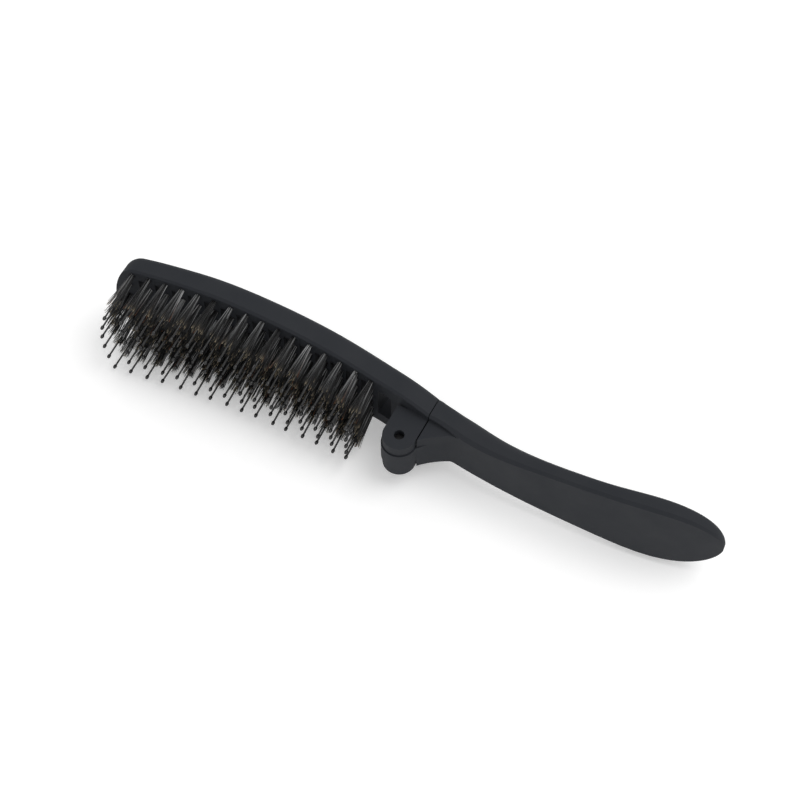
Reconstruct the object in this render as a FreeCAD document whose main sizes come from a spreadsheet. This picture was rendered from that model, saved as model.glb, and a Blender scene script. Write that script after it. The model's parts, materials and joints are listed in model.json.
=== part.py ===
# Folding scalp brush: a vented, arched head set with bristle tufts, and a handle that folds under it.
#
# Modelled about the hinge: X runs along the brush (head towards -X, handle towards +X), the back is
# towards +Y and the bristles point along -Y. Z runs across the width, so the brush lies on its side.
# The finished pieces are then moved together, so that the origin lies under the middle of the brush.
import FreeCAD, Part
import math
import os

import Sketcher
from FreeCAD import Placement, Rotation, Vector

# Driving dimensions in millimetres: name, value, what it measures.
DRIVING_SIZES = [
    # Head, side view
    ("head_reach", 106.0, "hinge axis to the tip of the head"),
    ("seam_reach", 5.5, "hinge axis to the middle of the seam between head and handle"),
    ("seam_gap", 0.3, "gap between the end faces at the seam"),
    ("head_thickness", 8.2, "crown of the bristle face to the crown of the back"),
    ("back_crown", 44.0, "hinge axis to the crown of the back, along the head"),
    ("back_radius", 255.0, "arch of the back"),
    ("face_height", 13.0, "hinge axis to the crown of the bristle face"),
    ("face_crown", 46.0, "hinge axis to the crown of the bristle face, along the head"),
    ("face_radius", 300.0, "arch of the bristle face"),
    # Head, seen from the back
    ("head_width", 33.6, "widest part of the head"),
    ("neck_width", 20.6, "head and handle at the seam"),
    ("tip_straight", 31.0, "tip of the head to where it starts to narrow"),
    ("tip_bow", 32.0, "bow of the tip"),
    ("tip_corner", 5.0, "rounded corners of the tip"),
    ("tip_round", 2.4, "rounding of the back at the tip"),
    ("side_trim", 0.1, "trimmed off each side, to leave it flat where the brush lies on it"),
    ("back_edge", 2.7, "rounding between back and sides, of head and handle"),
    ("face_edge", 0.8, "bevel between bristle face and sides"),
    # Vents
    ("vent_wall", 0.735, "wall between a vent and the tufts round it"),
    ("window_start", 8.4, "hinge axis to the window beside the hinge"),
    ("window_length", 5.0, "window, along the head"),
    ("window_width", 13.0, "window, across the head"),
    # Tufts
    ("tuft_margin", 6.8, "first column of tufts to the tip of the head, at the outer rows"),
    ("tuft_last", 15.95, "hinge axis to the last column of tufts"),
    ("row_margin", 2.7, "outer rows to the side of the head"),
    ("column_bow", 2.2, "how far the middle of the first column stands out towards the tip"),
    ("tuft_lean", 2.7, "lean of the tufts towards the hinge, in degrees"),
    ("hole_depth", 4.2, "tuft holes"),
    ("tuft_root", 1.44, "tuft across its corners, at its root"),
    ("tuft_tip", 3.9, "tuft across its corners, at its tip"),
    ("tuft_length", 11.8, "tuft beyond the bristle face"),
    ("tuft_fit", 0.1, "between tuft and hole"),
    ("quill_diameter", 0.7, "shank of a ball-tipped pin"),
    ("quill_length", 18.6, "ball-tipped pin beyond the bristle face"),
    ("quill_fit", 0.06, "between pin and tuft"),
    ("ball_diameter", 1.65, "ball at the tip of a pin"),
    ("anchor_length", 1.4, "tuft anchor, along the head"),
    ("anchor_thickness", 0.35, "tuft anchor, across the head"),
    ("anchor_depth", 0.9, "tuft anchor, along its hole"),
    # Hinge
    ("pivot_diameter", 3.2, "hinge pin"),
    ("pivot_fit", 0.05, "between the hinge pin and its holes"),
    ("pivot_recess", 2.2, "hinge pin below the outer faces of the ears"),
    ("clevis_width", 15.5, "over both ears"),
    ("ear_radius", 5.2, "rounded end of an ear"),
    ("tongue_width", 7.5, "tongue between the ears"),
    ("tongue_fit", 0.35, "between the tongue and each ear"),
    ("tongue_radius", 5.6, "rounded end of the tongue"),
    ("tongue_rise", 10.4, "hinge axis to the top of the tongue"),
    ("tongue_front", 2.9, "hinge axis to the top corner of the tongue"),
    ("tongue_headroom", 0.7, "between the tongue and the roof of its slot"),
    # Handle
    ("handle_reach", 100.9, "hinge axis to the end of the handle"),
    ("grip_width", 29.0, "widest part of the handle"),
    ("fold_gap", 0.5, "between the pins and the handle folded under them"),
    ("fold_slack", 7.0, "how far the end of the folded handle stands off from half a turn"),
    ("web_drop", 0.6, "hinge axis to the low corner of the web"),
    ("web_reach", 14.0, "hinge axis to the far end of the hollow under the web"),
    ("web_arch", 30.0, "hollow under the web"),
]

TUFT_COLUMNS = 16
TUFT_ROWS = 6
TUFT_SIDES = 4
QUILL_SIDES = 4
ROUND_SIDES = 4

# How the head narrows behind taper_start: shares of the way to the seam, and of the narrowing.
TAPER_SHARES = [(0.0, 0.0), (0.19, 0.14), (0.39, 0.335), (0.59, 0.55), (0.79, 0.78), (1.0, 1.0)]

# Sections of the handle behind the seam: place, rise, thickness and width of each. Places are shares of the
# length behind the seam, and widths of grip_width. Rises and thicknesses are shares of back_height, and the
# underside rises from the place of the pins and their gap when the handle is folded.
GRIP_SHARES = [
    (0.124, 0.031, 0.390, 0.655),
    (0.250, 0.068, 0.362, 0.672),
    (0.376, 0.134, 0.307, 0.760),
    (0.502, 0.194, 0.297, 0.845),
    (0.628, 0.241, 0.309, 0.930),
    (0.796, 0.308, 0.340, 1.000),
    (0.880, 0.362, 0.302, 0.905),
    (0.944, 0.413, 0.237, 0.680),
    (0.986, 0.461, 0.137, 0.366),
    (1.000, 0.491, 0.047, 0.138),
]

# The rounding of the handle's back: down its sides, as a share of its thickness, and across its width.
GRIP_ROUND_SHARES = (0.5, 0.26)

# The bevel along the handle's underside, as a share of its thickness.
BEVEL_SHARE = 0.15

# Sections of the straight part of the head, as shares of its length from taper_start to the tip.
HEAD_SECTION_SHARES = [0.67, 0.33]

# How the back rolls off at the tip: places behind it and drops, as shares of tip_round.
TIP_SHARES = [(0.0, 0.8), (0.2, 0.4), (0.5, 0.13), (1.0, 0.0), (2.0, 0.0)]

# Where the bevel of the tongue meets its round end, as a share of its radius.
TONGUE_BEVEL_SHARE = 0.35

# Length of a Bezier handle that draws a quarter of a circle, as a share of its radius.
QUARTER_SHARE = 0.5523

doc = FreeCAD.newDocument("folding_scalp_brush")
sheet = doc.addObject("Spreadsheet::Sheet", "sizes")


class Size:
    """A length worked out from the sheet: its value now, and the expression that keeps it tied."""

    def __init__(self, value, text):
        self.value = value
        self.text = text

    def join(self, sign, other, value):
        return Size(value, f"({self.text} {sign} {as_size(other).text})")

    def __add__(self, other):
        return self.join("+", other, self.value + as_size(other).value)

    def __sub__(self, other):
        return self.join("-", other, self.value - as_size(other).value)

    def __mul__(self, other):
        return self.join("*", other, self.value * as_size(other).value)

    def __truediv__(self, other):
        return self.join("/", other, self.value / as_size(other).value)

    def __neg__(self):
        return Size(-self.value, f"(0 - {self.text})")

    def root(self):
        return Size(math.sqrt(self.value), f"sqrt({self.text})")


def as_size(value):
    """A plain number, such as a share, as a Size."""
    return value if isinstance(value, Size) else Size(value, repr(value))


def fill_sheet():
    """Writes the driving dimensions into the sheet and returns them as Sizes by name."""
    sizes = {}
    for row, (name, value, meaning) in enumerate(DRIVING_SIZES, start=1):
        sheet.set(f"A{row}", meaning)
        sheet.set(f"B{row}", str(value))
        sheet.setAlias(f"B{row}", name)
        sizes[name] = Size(value, f"sizes.{name}")
    doc.recompute()
    return sizes


S = fill_sheet()

# Places that several pieces share.
head_end = S["seam_reach"] - S["seam_gap"] / 2
handle_end = S["seam_reach"] + S["seam_gap"] / 2
half_width = S["head_width"] / 2
half_neck = S["neck_width"] / 2
slot_width = S["tongue_width"] + S["tongue_fit"] * 2
bore_diameter = S["pivot_diameter"] + S["pivot_fit"] * 2
overrun = S["head_width"]

hole_floor = -S["hole_depth"]
tuft_root_place = S["anchor_depth"] - S["hole_depth"]
tuft_flare = (S["tuft_tip"] - S["tuft_root"]) / (S["tuft_length"] - tuft_root_place)
tuft_at_face = S["tuft_root"] - tuft_flare * tuft_root_place
hole_diameter = tuft_at_face + S["tuft_fit"] * 2
quill_bore = S["quill_diameter"] + S["quill_fit"] * 2
back_height = S["face_height"] + S["head_thickness"]
taper_start = S["head_reach"] - S["tip_straight"]
tuft_first = S["head_reach"] - S["tuft_margin"]
tuft_pitch = (tuft_first - S["tuft_last"]) / (TUFT_COLUMNS - 1)
vent_width = tuft_pitch - hole_diameter - S["vent_wall"] * 2


def arch_height(x, crown_height, crown, radius):
    """Height of an arch of the head above the hinge axis, at x along the brush."""
    across = x + crown
    return crown_height - radius + (radius * radius - across * across).root()


def back_at(x):
    return arch_height(x, back_height, S["back_crown"], S["back_radius"])


def face_at(x):
    return arch_height(x, S["face_height"], S["face_crown"], S["face_radius"])


def half_width_at(x):
    """Half the width of the head, at x along the brush."""
    start = -taper_start
    if x.value <= start.value:
        return half_width
    way = (x - start) / (head_end - start)
    for (near, near_drop), (far, far_drop) in zip(TAPER_SHARES, TAPER_SHARES[1:]):
        if way.value <= far:
            break
    drop = (way - near) / (far - near) * (far_drop - near_drop) + near_drop
    return half_width - drop * (half_width - half_neck)


def pin_tip_at(x):
    """How far the pins reach below the hinge axis, at x along the brush."""
    return S["quill_length"] - face_at(x)


# Sketches


def bind(thing, prop, size):
    """Ties a property to the sheet."""
    thing.setExpression(prop, as_size(size).text)


def new_sketch(body, name, role, offset=None):
    """An empty sketch on one of the body's own planes, moved along the plane's normal by offset."""
    sketch = body.newObject("Sketcher::SketchObject", name)
    plane = next(f for f in body.Origin.OriginFeatures if f.Role == role)
    sketch.AttachmentSupport = [(plane, "")]
    sketch.MapMode = "FlatFace"
    if offset is not None:
        bind(sketch, "AttachmentOffset.Base.z", offset)
    return sketch


def flat(x, y):
    """A point of a sketch, from two Sizes or numbers."""
    return Vector(as_size(x).value, as_size(y).value, 0)


def fix_point(sketch, geometry, end, x, y, name):
    """Ties one point of a sketch to its place, measured from the sketch's origin."""
    for kind, size in (("DistanceX", x), ("DistanceY", y)):
        constraint = Sketcher.Constraint(kind, -1, 1, geometry, end, as_size(size).value)
        index = sketch.addConstraint(constraint)
        label = f"{name}_{kind[-1].lower()}"
        sketch.renameConstraint(index, label)
        bind(sketch, f"Constraints.{label}", size)


def fix_radius(sketch, geometry, radius, name):
    index = sketch.addConstraint(Sketcher.Constraint("Radius", geometry, radius.value))
    sketch.renameConstraint(index, name)
    bind(sketch, f"Constraints.{name}", radius)


def join_ends(sketch, meetings):
    """Joins ends of lines and arcs: each meeting is one element and its end, then the other's."""
    for one, its_end, other, other_end in meetings:
        sketch.addConstraint(Sketcher.Constraint("Coincident", one, its_end, other, other_end))


def add_arc(sketch, centre, radius, start, end):
    """An arc about centre, counterclockwise from the direction of start to that of end."""
    turn = [math.atan2(p.y - centre.y, p.x - centre.x) for p in (start, end)]
    circle = Part.Circle(centre, Vector(0, 0, 1), radius.value)
    return sketch.addGeometry(Part.ArcOfCircle(circle, turn[0], turn[1]), False)


def add_polygon(sketch, corners, name):
    """A closed outline of straight lines through corners, each tied to its place."""
    first = sketch.GeometryCount
    count = len(corners)
    points = [flat(x, y) for x, y in corners]
    for i in range(count):
        sketch.addGeometry(Part.LineSegment(points[i], points[(i + 1) % count]), False)
    for i in range(count):
        following = first + (i + 1) % count
        sketch.addConstraint(Sketcher.Constraint("Coincident", first + i, 2, following, 1))
        fix_point(sketch, first + i, 1, corners[i][0], corners[i][1], f"{name}_{i}")


def add_rectangle(sketch, x_low, x_high, y_low, y_high, name):
    corners = [(x_low, y_low), (x_high, y_low), (x_high, y_high), (x_low, y_high)]
    add_polygon(sketch, corners, name)


def add_circle(sketch, diameter, name):
    """A circle about the sketch's origin."""
    circle = Part.Circle(Vector(0, 0, 0), Vector(0, 0, 1), diameter.value / 2)
    index = sketch.addGeometry(circle, False)
    sketch.addConstraint(Sketcher.Constraint("Coincident", index, 3, -1, 1))
    label = sketch.addConstraint(Sketcher.Constraint("Diameter", index, diameter.value))
    sketch.renameConstraint(label, name)
    bind(sketch, f"Constraints.{name}", diameter)


# Features


def pad_both_ways(body, name, sketch, width):
    """A pad of the given width, half on each side of the sketch."""
    pad = body.newObject("PartDesign::Pad", name)
    pad.Profile = sketch
    pad.SideType = "Symmetric"
    bind(pad, "Length", width)
    doc.recompute()
    return pad


def pocket_both_ways(body, name, sketch, width):
    """A pocket of the given width, half on each side of the sketch, that must remove material."""
    before = body.Shape.Volume
    pocket = body.newObject("PartDesign::Pocket", name)
    pocket.Profile = sketch
    pocket.SideType = "Symmetric"
    bind(pocket, "Length", width)
    doc.recompute()
    if body.Shape.Volume >= before:
        raise ValueError(f"{name} removed nothing")
    return pocket


# Head: the arched blank, its ears, slot, bores and openings


def rounded_section(x, top, underside, width, round_down, round_across, bevel):
    """A rectangle across the brush at x, as a wire: its low corners bevelled, its top ones rounded by flats."""
    side = width / 2
    corners = [
        (top, side, -round_down, -round_across), (underside, side, bevel, -bevel),
        (underside, -side, bevel, bevel), (top, -side, -round_down, round_across),
    ]
    chains = []
    ends = []
    for i, (y, z, along_y, along_z) in enumerate(corners):
        corner = Vector(x.value, y.value, z.value)
        by_side = Vector(0, along_y.value, 0)
        by_end = Vector(0, 0, along_z.value)
        first, second = (by_end, by_side) if i % 2 == 0 else (by_side, by_end)
        start, end = corner + first, corner + second
        ends.append((start, end))
        if y is underside:
            chains.append([Part.makeLine(start, end)])
            continue
        curve = Part.BezierCurve()
        curve.setPoles([start, start - first * QUARTER_SHARE, end - second * QUARTER_SHARE, end])
        points = [curve.value(step / ROUND_SIDES) for step in range(ROUND_SIDES + 1)]
        chains.append(Part.makePolygon(points).Edges)
    outline = []
    for i, chain in enumerate(chains):
        outline.extend(chain)
        outline.append(Part.makeLine(ends[i][1], ends[(i + 1) % len(ends)][0]))
    return Part.Wire(outline)


def make_smooth_solid(name, sections):
    """The smooth solid through some sections. Sketches can't tie such corners to sizes."""
    solid = doc.addObject("Part::Feature", name)
    solid.Shape = Part.makeLoft([rounded_section(*section) for section in sections], True, False)
    return solid


def head_sections():
    """Sections of the head from its tip to the seam."""
    start = -taper_start
    straight = S["tip_straight"]
    places = [(S["tip_round"] * share - S["head_reach"], S["tip_round"] * drop) for share, drop in TIP_SHARES]
    places += [(start - straight * share, 0) for share in HEAD_SECTION_SHARES]
    places += [(start + (head_end - start) * way, 0) for way, _ in TAPER_SHARES]
    sections = []
    for x, drop in places:
        half = half_width_at(x) + S["side_trim"] if x.value <= start.value else half_width_at(x)
        edge = S["back_edge"]
        sections.append((x, back_at(x) - drop, face_at(x), half * 2, edge, edge, S["face_edge"]))
    return sections


def sketch_tip_waste(body):
    """What the plan outline trims away: all between a frame around the tip and the bowed tip."""
    sketch = new_sketch(body, "tip_plan", "XZ_Plane")
    bow, corner = S["tip_bow"], S["tip_corner"]
    centre_x = bow - S["head_reach"]
    corner_z = half_width - corner
    corner_x = centre_x - ((bow - corner) * (bow - corner) - corner_z * corner_z).root()
    reach = corner / (bow - corner)
    touch_x, touch_z = corner_x - (centre_x - corner_x) * reach, corner_z + corner_z * reach
    start, far = -taper_start, -S["head_reach"] - overrun
    path = [
        (corner_x, half_width), (start, half_width), (start, overrun),
        (far, overrun), (far, -overrun), (start, -overrun), (start, -half_width), (corner_x, -half_width),
    ]
    points = [flat(x, y) for x, y in path]
    last = len(points) - 2
    for i in range(last + 1):
        sketch.addGeometry(Part.LineSegment(points[i], points[i + 1]), False)
        fix_point(sketch, i, 1, path[i][0], path[i][1], f"frame_{i}")
    for i in range(last):
        sketch.addConstraint(Sketcher.Constraint("Coincident", i, 2, i + 1, 1))
    fix_point(sketch, last, 2, path[-1][0], path[-1][1], "frame_end")
    upper = add_arc(sketch, flat(corner_x, corner_z), corner, points[0], flat(touch_x, touch_z))
    tip = add_arc(sketch, flat(centre_x, 0), bow, flat(touch_x, touch_z), flat(touch_x, -touch_z))
    lower = add_arc(sketch, flat(corner_x, -corner_z), corner, flat(touch_x, -touch_z), points[-1])
    join_ends(sketch, [(0, 1, upper, 1), (upper, 2, tip, 1), (tip, 2, lower, 1), (lower, 2, last, 2)])
    fix_point(sketch, tip, 1, touch_x, touch_z, "touch")
    fix_point(sketch, tip, 2, touch_x, -touch_z, "low_touch")
    fix_radius(sketch, tip, bow, "tip_bow")
    fix_radius(sketch, upper, corner, "upper_corner")
    fix_radius(sketch, lower, corner, "lower_corner")
    return sketch


def make_head_blank():
    """The arched head with its ears and openings, before the tuft holes are drilled."""
    body = doc.addObject("PartDesign::Body", "head_blank")
    body.BaseFeature = make_smooth_solid("head_arch", head_sections())
    doc.recompute()
    pocket_both_ways(body, "tip_trim", sketch_tip_waste(body), overrun * 2)

    ears = new_sketch(body, "ear_outline", "XY_Plane")
    top = face_at(head_end) + S["tongue_headroom"]
    left, right = flat(-S["ear_radius"], 0), flat(S["ear_radius"], 0)
    top_left, top_right = flat(-S["ear_radius"], top), flat(S["ear_radius"], top)
    arc = add_arc(ears, Vector(0, 0, 0), S["ear_radius"], left, right)
    rear = ears.addGeometry(Part.LineSegment(right, top_right), False)
    roof = ears.addGeometry(Part.LineSegment(top_right, top_left), False)
    front = ears.addGeometry(Part.LineSegment(top_left, left), False)
    join_ends(ears, [(arc, 2, rear, 1), (rear, 2, roof, 1), (roof, 2, front, 1), (front, 2, arc, 1)])
    ears.addConstraint(Sketcher.Constraint("Coincident", arc, 3, -1, 1))
    ears.addConstraint(Sketcher.Constraint("PointOnObject", arc, 1, -1))
    ears.addConstraint(Sketcher.Constraint("PointOnObject", arc, 2, -1))
    fix_radius(ears, arc, S["ear_radius"], "ear_end")
    fix_point(ears, roof, 1, S["ear_radius"], top, "roof_rear")
    fix_point(ears, roof, 2, -S["ear_radius"], top, "roof_front")
    pad_both_ways(body, "ears", ears, S["clevis_width"])

    slot = new_sketch(body, "tongue_slot", "XY_Plane")
    low_roof = S["tongue_radius"] + S["tongue_headroom"]
    high_roof = S["tongue_rise"] + S["tongue_headroom"]
    bevel_top = S["tongue_front"] - S["tongue_headroom"]
    bevel_foot = bevel_top - (high_roof - low_roof)
    reach = S["head_width"]
    corners = [
        (-reach, -reach),
        (reach, -reach),
        (reach, high_roof),
        (bevel_top, high_roof),
        (bevel_foot, low_roof),
        (-reach, low_roof),
    ]
    add_polygon(slot, corners, "slot")
    pocket_both_ways(body, "slot", slot, slot_width)

    bore = new_sketch(body, "pivot_bore", "XY_Plane")
    add_circle(bore, bore_diameter, "bore")
    pocket_both_ways(body, "bore", bore, S["clevis_width"] + overrun)

    window = new_sketch(body, "window", "XZ_Plane")
    near, far = -S["window_start"], -S["window_start"] - S["window_length"]
    add_rectangle(window, far, near, -S["window_width"] / 2, S["window_width"] / 2, "window")
    pocket_both_ways(body, "window_cut", window, back_height * 2 + overrun)

    vents = new_sketch(body, "vents", "XZ_Plane")
    for i in range(TUFT_COLUMNS - 1):
        middle = tuft_pitch * (i + 0.5) - tuft_first
        reach = vent_reach(i)
        low, high = middle - vent_width / 2, middle + vent_width / 2
        add_rectangle(vents, low, high, -reach, reach, f"vent_{i}")
    pocket_both_ways(body, "vent_cuts", vents, back_height * 2 + overrun)
    return body


def vent_reach(i):
    """Half the length of the vent behind column i: it stops short of the outer rows of tufts."""
    at_column = outer_row_at(tuft_pitch * (i + 1) - tuft_first)
    return at_column - hole_diameter / 2 - S["vent_wall"]


def outer_row_at(x):
    """How far the outer rows stand from the middle of the head, at x along the brush."""
    return half_width_at(x) - S["row_margin"]


# Tufts, ball-tipped pins and anchors, made once and set in rows


def tuft_places(row):
    """Where each tuft of a row leaves the bristle face: points on the face, from tip to hinge."""
    places = []
    side_share = 2 * row / (TUFT_ROWS - 1) - 1
    for column in range(TUFT_COLUMNS):
        x = tuft_pitch * column - tuft_first
        if column == 0:
            x = x - S["column_bow"] * (1 - side_share ** 2)
        z = outer_row_at(x) * side_share
        places.append(Vector(x.value, face_at(x).value, z.value))
    return places


# Masters stand along +Z from the bristle face at 0, roots below it. This turn points them along -Y,
# with a flat of the tuft towards the next row.
SETTING_TURN = Rotation(Vector(0, 0, 1), S["tuft_lean"].value) * Rotation(Vector(1, 0, 0), 90)


def faceted(name, sides, rings):
    """A solid of flat faces through regular polygons along the master's axis: (diameter, height) of each.

    A last ring of no diameter closes the solid in a point.
    """
    turns = [2 * math.pi * side / sides for side in range(sides)]
    outlines = []
    for diameter, height in rings:
        radius = as_size(diameter).value / 2
        outlines.append([Vector(radius * math.cos(a), radius * math.sin(a), height.value) for a in turns])
    pointed = as_size(rings[-1][0]).value == 0
    caps = outlines[:1] if pointed else [outlines[0], outlines[-1]]
    faces = [Part.Face(Part.makePolygon(ring + ring[:1])) for ring in caps]
    for low, high in zip(outlines, outlines[1:]):
        for i in range(sides):
            j = (i + 1) % sides
            corners = [low[i], low[j], high[j], high[i]]
            if pointed and high is outlines[-1]:
                corners = corners[:3]
            faces.append(Part.Face(Part.makePolygon(corners + corners[:1])))
    solid = Part.Solid(Part.Shell(faces))
    if solid.Volume < 0:
        solid.reverse()
    shape = doc.addObject("Part::Feature", name)
    shape.Shape = solid
    return shape


def prism(name, sides, diameter, low, high):
    shape = doc.addObject("Part::Prism", name)
    shape.Polygon = sides
    bind(shape, "Circumradius", diameter / 2)
    bind(shape, "Height", high - low)
    bind(shape, "Placement.Base.z", low)
    return shape


def boolean(kind, name, base, tool):
    shape = doc.addObject(f"Part::{kind}", name)
    shape.Base = base
    shape.Tool = tool
    return shape


def make_tuft_master():
    """A tuft: it flares from its root, and is open down the middle for the ball-tipped pin."""
    rings = [(S["tuft_root"], tuft_root_place), (S["tuft_tip"], S["tuft_length"])]
    flare = faceted("tuft_flare", TUFT_SIDES, rings)
    low, high = hole_floor, S["tuft_length"] + S["hole_depth"]
    bore = prism("tuft_bore", QUILL_SIDES, quill_bore, low, high)
    return boolean("Cut", "tuft_master", flare, bore)


def make_quill_master():
    """A ball-tipped pin: a thin shank from the root of the tuft, and a faceted ball at its tip."""
    ball = S["ball_diameter"]
    rings = [
        (S["quill_diameter"], tuft_root_place),
        (S["quill_diameter"], S["quill_length"] - ball),
        (ball, S["quill_length"] - ball / 2),
        (0, S["quill_length"]),
    ]
    return faceted("quill_master", QUILL_SIDES, rings)


def make_anchor_master():
    """A tuft anchor: a short piece of flat wire on the floor of the hole."""
    anchor = doc.addObject("Part::Box", "anchor_master")
    bind(anchor, "Length", S["anchor_length"])
    bind(anchor, "Width", S["anchor_thickness"])
    bind(anchor, "Height", S["anchor_depth"])
    bind(anchor, "Placement.Base.x", -S["anchor_length"] / 2)
    bind(anchor, "Placement.Base.y", -S["anchor_thickness"] / 2)
    bind(anchor, "Placement.Base.z", hole_floor)
    return anchor


def set_in_row(label, master, places):
    """Copies of a master, one at each place, as one piece of separate solids."""
    copies = []
    for place in places:
        copy = master.Shape.copy()
        copy.Placement = Placement(place, SETTING_TURN).multiply(copy.Placement)
        copies.append(copy)
    row = doc.addObject("Part::Feature", label)
    row.Shape = Part.makeCompound(copies)
    return row


# Handle


def underside_at(x, rise):
    """The handle's underside above the hinge axis at x: clear of the pins it folds to, and a rise."""
    return pin_tip_at(-x) - S["fold_slack"] * x / S["handle_reach"] + S["fold_gap"] + rise


def grip_sections():
    """Sections of the handle from the seam to its end."""
    edge, bevel = S["back_edge"], S["face_edge"]
    seam = (handle_end, back_at(handle_end), face_at(handle_end), S["neck_width"], edge, edge, bevel)
    sections = [seam]
    down_share, across_share = GRIP_ROUND_SHARES
    for place_share, rise_share, thickness_share, width_share in GRIP_SHARES:
        x = handle_end + (S["handle_reach"] - handle_end) * place_share
        underside = underside_at(x, back_height * rise_share)
        thickness = back_height * thickness_share
        width = S["grip_width"] * width_share
        bevel = thickness * BEVEL_SHARE
        sections.append(
            (x, underside + thickness, underside, width, thickness * down_share, width * across_share, bevel)
        )
    return sections


def make_handle():
    """The handle: a smooth paddle through its sections, the web under it and the tongue."""
    body = doc.addObject("PartDesign::Body", "handle")
    body.BaseFeature = make_smooth_solid("grip", grip_sections())
    doc.recompute()

    web = new_sketch(body, "web_outline", "XY_Plane")
    inside = face_at(handle_end) + S["face_edge"]
    low_corner = (handle_end, S["web_drop"])
    far_corner = (S["web_reach"], underside_at(S["web_reach"], 0))
    run_out = S["web_reach"] + S["seam_reach"]
    run_out_y = underside_at(run_out, back_height * GRIP_SHARES[0][1]) + S["face_edge"]
    path = [far_corner, (run_out, run_out_y), (run_out, inside), (handle_end, inside), low_corner]
    points = [flat(x, y) for x, y in path]
    for i in range(len(points) - 1):
        web.addGeometry(Part.LineSegment(points[i], points[i + 1]), False)
        fix_point(web, i, 1, path[i][0], path[i][1], f"web_{i}")
    for i in range(len(points) - 2):
        web.addConstraint(Sketcher.Constraint("Coincident", i, 2, i + 1, 1))
    last = len(points) - 2
    fix_point(web, last, 2, low_corner[0], low_corner[1], "web_low")
    centre = arc_centre(points[0], points[-1], S["web_arch"].value)
    arch = add_arc(web, centre, S["web_arch"], points[0], points[-1])
    web.addConstraint(Sketcher.Constraint("Coincident", arch, 1, 0, 1))
    web.addConstraint(Sketcher.Constraint("Coincident", arch, 2, last, 2))
    fix_radius(web, arch, S["web_arch"], "web_arch")
    pad_both_ways(body, "web", web, S["clevis_width"])

    tongue = new_sketch(body, "tongue_outline", "XY_Plane")
    root_x = handle_end + S["tongue_radius"] / 2
    touch_x = -S["tongue_radius"] * TONGUE_BEVEL_SHARE
    touch_y = (S["tongue_radius"] * S["tongue_radius"] - touch_x * touch_x).root()
    path = [
        (S["tongue_radius"], 0),
        (root_x, S["web_drop"] + S["tongue_radius"] / 2),
        (root_x, S["tongue_rise"]),
        (S["tongue_front"], S["tongue_rise"]),
        (touch_x, touch_y),
    ]
    points = [flat(x, y) for x, y in path]
    for i in range(len(points) - 1):
        tongue.addGeometry(Part.LineSegment(points[i], points[i + 1]), False)
        fix_point(tongue, i, 1, path[i][0], path[i][1], f"tongue_{i}")
    for i in range(len(points) - 2):
        tongue.addConstraint(Sketcher.Constraint("Coincident", i, 2, i + 1, 1))
    last = len(points) - 2
    nose = add_arc(tongue, Vector(0, 0, 0), S["tongue_radius"], points[-1], points[0])
    tongue.addConstraint(Sketcher.Constraint("Coincident", nose, 3, -1, 1))
    tongue.addConstraint(Sketcher.Constraint("Coincident", nose, 2, 0, 1))
    tongue.addConstraint(Sketcher.Constraint("Coincident", nose, 1, last, 2))
    index = tongue.addConstraint(Sketcher.Constraint("DistanceX", -1, 1, last, 2, touch_x.value))
    tongue.renameConstraint(index, "bevel_foot")
    bind(tongue, "Constraints.bevel_foot", touch_x)
    pad_both_ways(body, "tongue", tongue, S["tongue_width"])

    bore = new_sketch(body, "tongue_bore", "XY_Plane")
    add_circle(bore, bore_diameter, "bore")
    pocket_both_ways(body, "bore", bore, S["clevis_width"])
    return body


def arc_centre(start, end, radius):
    """Centre of the arc that runs counterclockwise from start to end, less than half way round."""
    chord = end.sub(start)
    middle = start.add(chord.multiply(0.5))
    half = end.sub(start).Length / 2
    across = Vector(-(end.y - start.y), end.x - start.x, 0)
    across.normalize()
    return middle.add(across.multiply(math.sqrt(radius ** 2 - half ** 2)))


def make_hinge_pin():
    """A plain steel pin through both ears and the tongue, set back at both ends."""
    body = doc.addObject("PartDesign::Body", "hinge_pin")
    sketch = new_sketch(body, "pin_section", "XY_Plane")
    add_circle(sketch, S["pivot_diameter"], "pin")
    pad_both_ways(body, "pin", sketch, S["clevis_width"] - S["pivot_recess"] * 2)
    return body


def make_pieces():
    """Builds every piece about the hinge and returns them."""
    blank = make_head_blank()
    tuft = make_tuft_master()
    quill = make_quill_master()
    anchor = make_anchor_master()
    drill = prism("hole_master", TUFT_SIDES, hole_diameter, hole_floor, S["hole_depth"])
    doc.recompute()
    rows = []
    all_places = []
    for row in range(TUFT_ROWS):
        places = tuft_places(row)
        all_places += places
        rows.append(set_in_row(f"bristle_row_{row + 1}", tuft, places))
        rows.append(set_in_row(f"pin_row_{row + 1}", quill, places))
        rows.append(set_in_row(f"anchor_row_{row + 1}", anchor, places))
    drills = set_in_row("tuft_holes", drill, all_places)
    head = boolean("Cut", "head_frame", blank, drills)
    pieces = [head, make_handle(), make_hinge_pin()] + rows
    doc.recompute()
    return pieces


def check(pieces):
    """Stops if any object of the document failed, or any piece is empty or broken."""
    for thing in doc.Objects:
        if "Invalid" in thing.State or "Error" in thing.State:
            raise ValueError(f"{thing.Label} failed: {thing.State}")
    for piece in pieces:
        if piece.Shape.isNull() or not piece.Shape.isValid():
            raise ValueError(f"{piece.Label} has no sound shape")


def move_to_origin(pieces):
    """Moves all pieces alike, so that the origin lies under the middle of the brush."""
    lowest = min(piece.Shape.BoundBox.YMin for piece in pieces if piece.Label.startswith("pin_row"))
    middle_x = (S["handle_reach"] - S["head_reach"]) / 2
    middle_y = (back_height + lowest) / 2
    shift = Vector(-middle_x.value, -middle_y.value, half_width.value)
    for piece in pieces:
        piece.Placement = Placement(shift, Rotation()).multiply(piece.Placement)
    return shift


def write(pieces):
    os.makedirs("parts", exist_ok=True)
    for piece in pieces:
        piece.Shape.exportStep(f"parts/{piece.Label}.step")


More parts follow.
